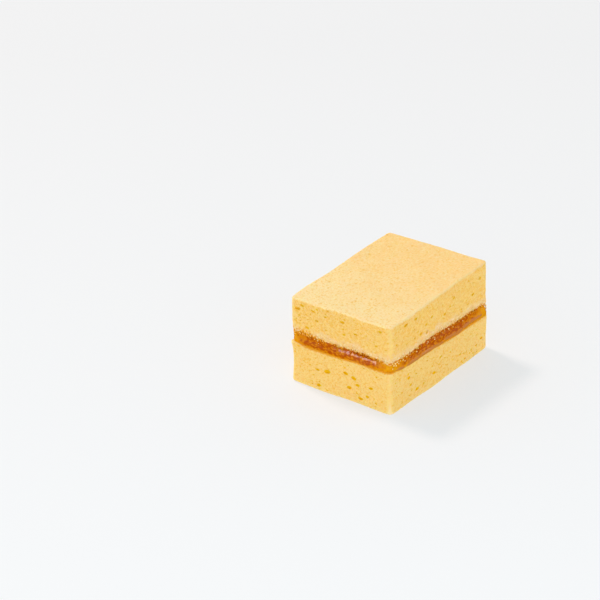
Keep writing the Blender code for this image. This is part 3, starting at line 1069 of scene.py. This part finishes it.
# Long lips along the -Y side, as (along, height above the lower sponge, half length, proud) in millimetres.
SIDE_LIPS = (
    (-28.5, 0.6, 3.5, 0.3), (-19.0, 0.8, 5.7, 0.5), (-8.0, 1.2, 7.5, 0.6), (0.5, 1.0, 4.6, 0.5),
    (6.5, 1.7, 6.0, 0.45), (13.0, 1.3, 4.2, 0.5), (18.5, 1.8, 3.6, 0.5), (25.5, 1.9, 5.0, 0.55),
)
LIP_HALF_HEIGHT = 0.85 * MM
LIP_TILT = 0.07
LIP_CORNER_GAP = (0.5 * MM, 4 * MM)
# How far a lip must stand above the next for its painted sheen to be in full.
LIP_SHARP_RISE = 0.25 * MM

# The lips of the unseen sides are drawn between these limits, in millimetres as above, or shares of a step.
LIP_SEED = 5
LIP_STARTS = (3 * MM, 6 * MM)
LIP_END_GAP = 3 * MM
LIP_HEIGHTS = (0.6, 1.3)
LIP_HALF_LENGTHS = (3.0, 6.5)
LIP_PROUDS = (0.1, 0.35)
LIP_STEP = 8.5 * MM
LIP_STEP_SPREAD = (0.8, 1.4)

JAM_DARK = (0.51, 0.092, 0.0003)
JAM_ORANGE = (0.81, 0.29, 0.001)
JAM_AMBER = (0.90, 0.43, 0.004)
# A painted reflection: the sheen of bright surroundings on the jam's lips.
JAM_LIP_SHEEN = (0.61, 0.225, 0.05)


def face_of(x, y):
    """Which of the four sides a place is nearest to, as a direction in plan, and how far along it lies."""
    if LENGTH / 2 - abs(x) < WIDTH / 2 - abs(y):
        return (int(math.copysign(1, x)), 0), y
    return (0, int(math.copysign(1, y))), x


def drawn_lips(half_face, draw):
    """Long lips for one side of the jam, spread by a seeded draw."""
    lips = []
    along = draw.uniform(*LIP_STARTS) - half_face
    while along < half_face - LIP_END_GAP:
        height = draw.uniform(*LIP_HEIGHTS)
        half_length = draw.uniform(*LIP_HALF_LENGTHS)
        lips.append((along / MM, height, half_length, draw.uniform(*LIP_PROUDS)))
        along += LIP_STEP * draw.uniform(*LIP_STEP_SPREAD)
    return lips


lip_draw = random.Random(LIP_SEED)
lips_of_face = {
    (0, -1): SIDE_LIPS,
    (-1, 0): (),
    (1, 0): drawn_lips(WIDTH / 2, lip_draw),
    (0, 1): drawn_lips(LENGTH / 2, lip_draw),
}


def lips_at(x, y, above_floor):
    """How proud the jam's lips stand at a place, the highest two: lens-shaped, and gone at the corners."""
    face, along = face_of(x, y)
    inland = rising(corner_distance(x, y), *LIP_CORNER_GAP)
    rises = [0.0, 0.0]
    for centre, height, half_length, proud in lips_of_face[face]:
        off = (along / MM - centre) / half_length
        up = (above_floor / MM - height - LIP_TILT * (along / MM - centre)) * MM / LIP_HALF_HEIGHT
        rises.append(inland * proud * MM * math.sqrt(max(0, 1 - off * off - up * up)))
    return sorted(rises)[-1:-3:-1]


def ledge_at(x, y):
    """How strongly the jam steps out in a ledge: in full amid the -X end, here and there elsewhere."""
    face, along = face_of(x, y)
    if face == (-1, 0):
        return falling(abs(along - LEDGE_MIDDLE), LEDGE_REACH) ** 0.5
    return max(0, ripple(x, y, 0, LEDGE_WAVELENGTH, 31)) * (FRONT_LEDGE_SHARE if face == (0, -1) else 1)


def jam_floor(x, y):
    """The underside of the jam, which laps down over the lower sponge's rim."""
    lap = falling(depth_inside(x, y), JAM_LAP_REACH) * min(1, corner_distance(x, y) / JAM_LAP_CORNER)
    return lower_top(x, y) - JAM_SINK - JAM_LAP_DROP * lap**2


def jam_place(x, y, share):
    """Where a point of the jam goes: out in a lip, with a hollow above it, and stepped out in shelves."""
    floor = jam_floor(x, y)
    z = blend(floor, torn_underside(x, y) + JAM_RISE, share)
    near_corner = falling(corner_distance(x, y), JAM_CORNER_REACH)
    lip = JAM_LIP * math.sin(math.pi * min(share / JAM_LIP_SHARE, 1)) * (1 - near_corner)
    hollow = JAM_HOLLOW * share * (1 - JAM_CORNER_FULLNESS * near_corner)
    lump = JAM_LUMP * ripple(x, y, z, JAM_LUMP_LENGTH, 6)
    upright = share * JAM_RIPPLE * ripple(x, y, z * JAM_RIPPLE_STRETCH, JAM_RIPPLE_LENGTH, 32)
    upright += rising(share, *JAM_GRAINS_SHARES) * JAM_GRAINS * ripple(x, y, z, JAM_GRAINS_LENGTH, 35)
    step = share
    for wander, wavelength, seed in LEDGE_WANDERS:
        step += wander * ripple(x, y, 0, wavelength, seed)
    ledge = JAM_SHELF * min(1, share / SHELF_SHARE) - LEDGE_DEPTH * rising(step, *LEDGE_SHARES)
    corner = height_at(JAM_CORNER_DROPS, x, y) * near_corner
    out = lip - hollow + lump + upright + ledge_at(x, y) * ledge - corner + lips_at(x, y, z - floor)[0]
    return (*cut_faces(x, y, z, out), z)


def jam_material():
    """Wet jam: dark where it lies thick, amber where it is thin, glossy all over, with a painted sheen on
    its lips.
    """
    jam, tree, shader = new_material("apricot jam")
    place = millimetres(tree)
    thick = math_of(tree, "ADD", marked(tree, "thick"), ragged_edge(tree, place, 2.2, 41, 0.2))
    colour = tint(tree, rise(tree, thick, 0.0, 0.5), JAM_AMBER, JAM_ORANGE)
    colour = tint(tree, rise(tree, thick, 0.45, 0.95), colour, JAM_DARK)
    pulp = clouds(tree, place, width=1.6, seed=44, detail=3, flatness=2.4)
    colour = tint(tree, rise(tree, pulp, 0.46, 0.62, most=0.75), colour, JAM_ORANGE)
    # Painted reflection: the lips get the sheen of bright surroundings, broken into streaks.
    streaks = clouds(tree, place, width=1.6, seed=43, detail=3, flatness=2.6)
    streaks = rise(tree, streaks, 0.32, 0.62, least=-0.45, most=0.1)
    lips = math_of(tree, "ADD", marked(tree, "lip"), streaks)
    colour = tint(tree, rise(tree, lips, 0.2, 0.8, most=0.9), colour, JAM_LIP_SHEEN)
    connect(tree, shader.inputs["Base Color"], colour)
    shader.inputs["Roughness"].default_value = 0.14
    shader.inputs["IOR"].default_value = 1.42
    shader.inputs["Coat Weight"].default_value = 0.35
    shader.inputs["Coat Roughness"].default_value = 0.06
    shader.inputs["Subsurface Weight"].default_value = 0.15
    shader.inputs["Subsurface Radius"].default_value = (1.0, 0.35, 0.05)
    shader.inputs["Subsurface Scale"].default_value = 1.5 * MM
    pitting = clouds(tree, place, width=1.1, seed=42, detail=1)
    add_relief(tree, shader, pitting, strength=0.4, depth=0.3 * MM)
    return jam


jam = rounded_block("apricot_jam", JAM_THICKNESS, (JAM_RIM, JAM_RIM), JAM_GRAIN, (-1, 1))
lip_sheen_marks = []
thick_marks = []
for point in jam.data.vertices:
    x, y, share = point.co.x, point.co.y, point.co.z / JAM_THICKNESS
    point.co = jam_place(x, y, share)
    highest, next_highest = lips_at(x, y, point.co.z - jam_floor(x, y))
    # The painted sheen, where one lip stands clear of the next.
    lip_sheen_marks.append(min(1, (highest - next_highest) / LIP_SHARP_RISE))
    inland = 1 - falling(corner_distance(x, y), height_at(JAM_THIN_REACHES, x, y))
    thinnest = END_THICKNESS * falling(x + LENGTH / 2, END_FACE_DEPTH)
    thick_marks.append(min(1, thinnest + share / THICK_SHARE) * blend(JAM_THIN_SHARE, 1.0, inland))
for name, values in (("lip", lip_sheen_marks), ("thick", thick_marks)):
    jam.data.attributes.new(name, "FLOAT", "POINT").data.foreach_set("value", values)
finish_piece(jam, jam_material(), "jam_filling")


# ---------------------------------------------------------------------------------------------
# Bubbles in the jam. Air that was stirred in shows as beads below the torn crumb, the largest of
# them on the -Y side. Their pale colour is a painted highlight, for the glints on them. Each is a
# small blister, sunk a little more than half way into the jam.

# The largest, on the -Y side, as (along, height, width) in millimetres.
SIDE_BUBBLES = (
    (-30.6, 23.8, 0.75), (-29.5, 22.7, 0.6), (-26.5, 23.2, 0.7), (-25.2, 22.3, 0.55), (-23.5, 23.1, 0.7),
    (-21.3, 23.6, 0.65), (-20.9, 24.3, 0.5), (-16.2, 22.4, 0.8), (-15.0, 23.2, 0.65), (-12.4, 23.2, 0.55),
    (-7.8, 22.9, 0.7), (-4.0, 23.5, 0.5), (-3.5, 22.4, 0.65), (5.1, 23.2, 0.55), (7.5, 22.4, 0.75),
    (-33.6, 21.9, 0.65), (-32.8, 22.9, 0.95), (-31.6, 23.3, 0.9), (-31.2, 22.3, 0.7), (-28.4, 23.5, 0.6),
)
BUBBLES = 56
BUBBLE_WIDTHS = (0.3 * MM, 0.6 * MM)
BUBBLE_SHARES = (0.6, 0.92)
BUBBLE_SINK = 0.15
BUBBLE_SEED = 41

# The others lie on all four sides, in these parts, over this share of a side, crowded towards its start.
BUBBLE_PARTS = (2, 3, 4, 4)
BUBBLE_SPAN = 0.95
BUBBLE_START = 0.47
BUBBLE_CROWDING = 1.5

# A painted highlight: the pale colour stands for the glints on the bubbles.
BUBBLE_GLINT = (1.0, 0.80, 0.30)


def add_bubble(blisters, outward, along, share, width):
    """Adds one blister, sunk into the jam's surface, to a mesh being built."""
    centre = Vector(jam_place(*face_place(outward, along), share)) - outward * width * BUBBLE_SINK
    bmesh.ops.create_icosphere(blisters, subdivisions=2, radius=width / 2, matrix=Matrix.Translation(centre))


bubble_draw = random.Random(BUBBLE_SEED)
blisters = bmesh.new()
for along, height, width in SIDE_BUBBLES:
    floor = jam_floor(along * MM, -WIDTH / 2)
    share = (height * MM - floor) / (torn_underside(along * MM, -WIDTH / 2) + JAM_RISE - floor)
    add_bubble(blisters, FRONT_SIDE, along * MM, share, width * MM)
for _ in range(BUBBLES):
    outward = bubble_draw.choices(SIDES, BUBBLE_PARTS)[0]
    along = 2 * half_side(outward) * (BUBBLE_SPAN * bubble_draw.random() ** BUBBLE_CROWDING - BUBBLE_START)
    width = mostly_small(bubble_draw, BUBBLE_WIDTHS)
    add_bubble(blisters, outward, along, bubble_draw.uniform(*BUBBLE_SHARES), width)
bubbles = new_piece("jam_bubbles", blisters)
# Pale and glossy, as a painted highlight.
glint_material, _, glint_shader = new_material("jam bubbles with painted glints")
glint_shader.inputs["Base Color"].default_value = (*BUBBLE_GLINT, 1)
glint_shader.inputs["Roughness"].default_value = 0.12
bubbles.data.materials.append(glint_material)
only(bubbles)
bpy.ops.object.shade_smooth()
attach(bubbles, "root")


# ---------------------------------------------------------------------------------------------
# Crumbs. Cutting and tearing left loose crumbs of sponge on the rims of the upper layer.
# Each is a small uneven lump, pressed a little way into what it sticks to.

# Those that stand out on their own, as (x, y, share of the layer's height, width), lengths in millimetres.
STRAY_CRUMBS = (
    (32.4, 24.5, 1.0, 0.9), (34.9, -25.0, 0.01, 1.0), (34.9, -24.9, -0.04, 0.9), (34.5, -25.2, -0.05, 0.7),
)
TORN_CRUMBS = 600
TORN_CRUMB_WIDTHS = (0.35 * MM, 0.9 * MM)
CRUMB_SINK = 0.22
CRUMB_SEED = 23

# How far along a side they lie, and from how far below the torn rim to how far above, in shares.
CRUMB_SPAN = 0.96
CRUMB_HANG = 0.02
CRUMB_RISE = 0.14
CRUMB_CROWDING = 1.5

# How much a crumb is drawn out along X, Y and Z, and its knobs, as (share, how many across).
CRUMB_STRETCHES = ((0.7, 1.3), (0.7, 1.3), (0.6, 1.1))
CRUMB_KNOBS = ((1, 2.2), (0.7, 5))
KNOB_HEIGHT = 0.8

# Crumbs stay clean up to the first of these distances from the +X -Y corner, and aren't beyond the second.
CLEAN_CORNER = (2 * MM, 5 * MM)
CLEAN_SOAK = -0.5
CRUMB_PINKNESS = 0.6


def add_crumb(lumps, centre, width, draw):
    """Adds one lump, drawn out one way and knobbly, to a mesh being built."""
    made = bmesh.ops.create_icosphere(lumps, subdivisions=2, radius=width / 2)["verts"]
    offset = somewhere(draw)
    stretch = Vector([draw.uniform(*limits) for limits in CRUMB_STRETCHES])
    for point in made:
        knobs = sum(size * noise.noise(point.co / width * count + offset) for size, count in CRUMB_KNOBS)
        point.co = Vector(centre) + point.co * stretch * (1 + KNOB_HEIGHT * knobs)


def crumb_soak(x, y, z):
    """How far a crumb has soaked up jam: as the sponge around it, but it stays clean at the +X -Y corner."""
    away = rising(from_corner(x, y, 1, -1), *CLEAN_CORNER)
    return blend(CLEAN_SOAK, upper_soak(x, y, z), away)


def crumbs_colour(tree, place, colour):
    return stained(tree, place, tint(tree, CRUMB_PINKNESS, colour, TORN_PINK), ragged=0.5, dark=1)


crumb_draw = random.Random(CRUMB_SEED)
lumps = bmesh.new()
for x, y, share, width in STRAY_CRUMBS:
    add_crumb(lumps, upper_place(x * MM, y * MM, share), width * MM, crumb_draw)
for _ in range(TORN_CRUMBS):
    outward = crumb_draw.choice(SIDES)
    half_face = half_side(outward)
    x, y = face_place(outward, crumb_draw.uniform(-half_face, half_face) * CRUMB_SPAN)
    share = CRUMB_RISE * crumb_draw.random() ** CRUMB_CROWDING - CRUMB_HANG
    width = mostly_small(crumb_draw, TORN_CRUMB_WIDTHS)
    place = Vector(upper_place(x, y, share)) - outward * width * CRUMB_SINK
    add_crumb(lumps, place, width, crumb_draw)
crumbs = new_piece("loose_crumbs", lumps)
mark(crumbs, "soak", crumb_soak)
crumbs.data.materials.append(sponge_material("loose chiffon crumb", crumbs_colour))
only(crumbs)
bpy.ops.object.shade_smooth()
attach(crumbs, "root")
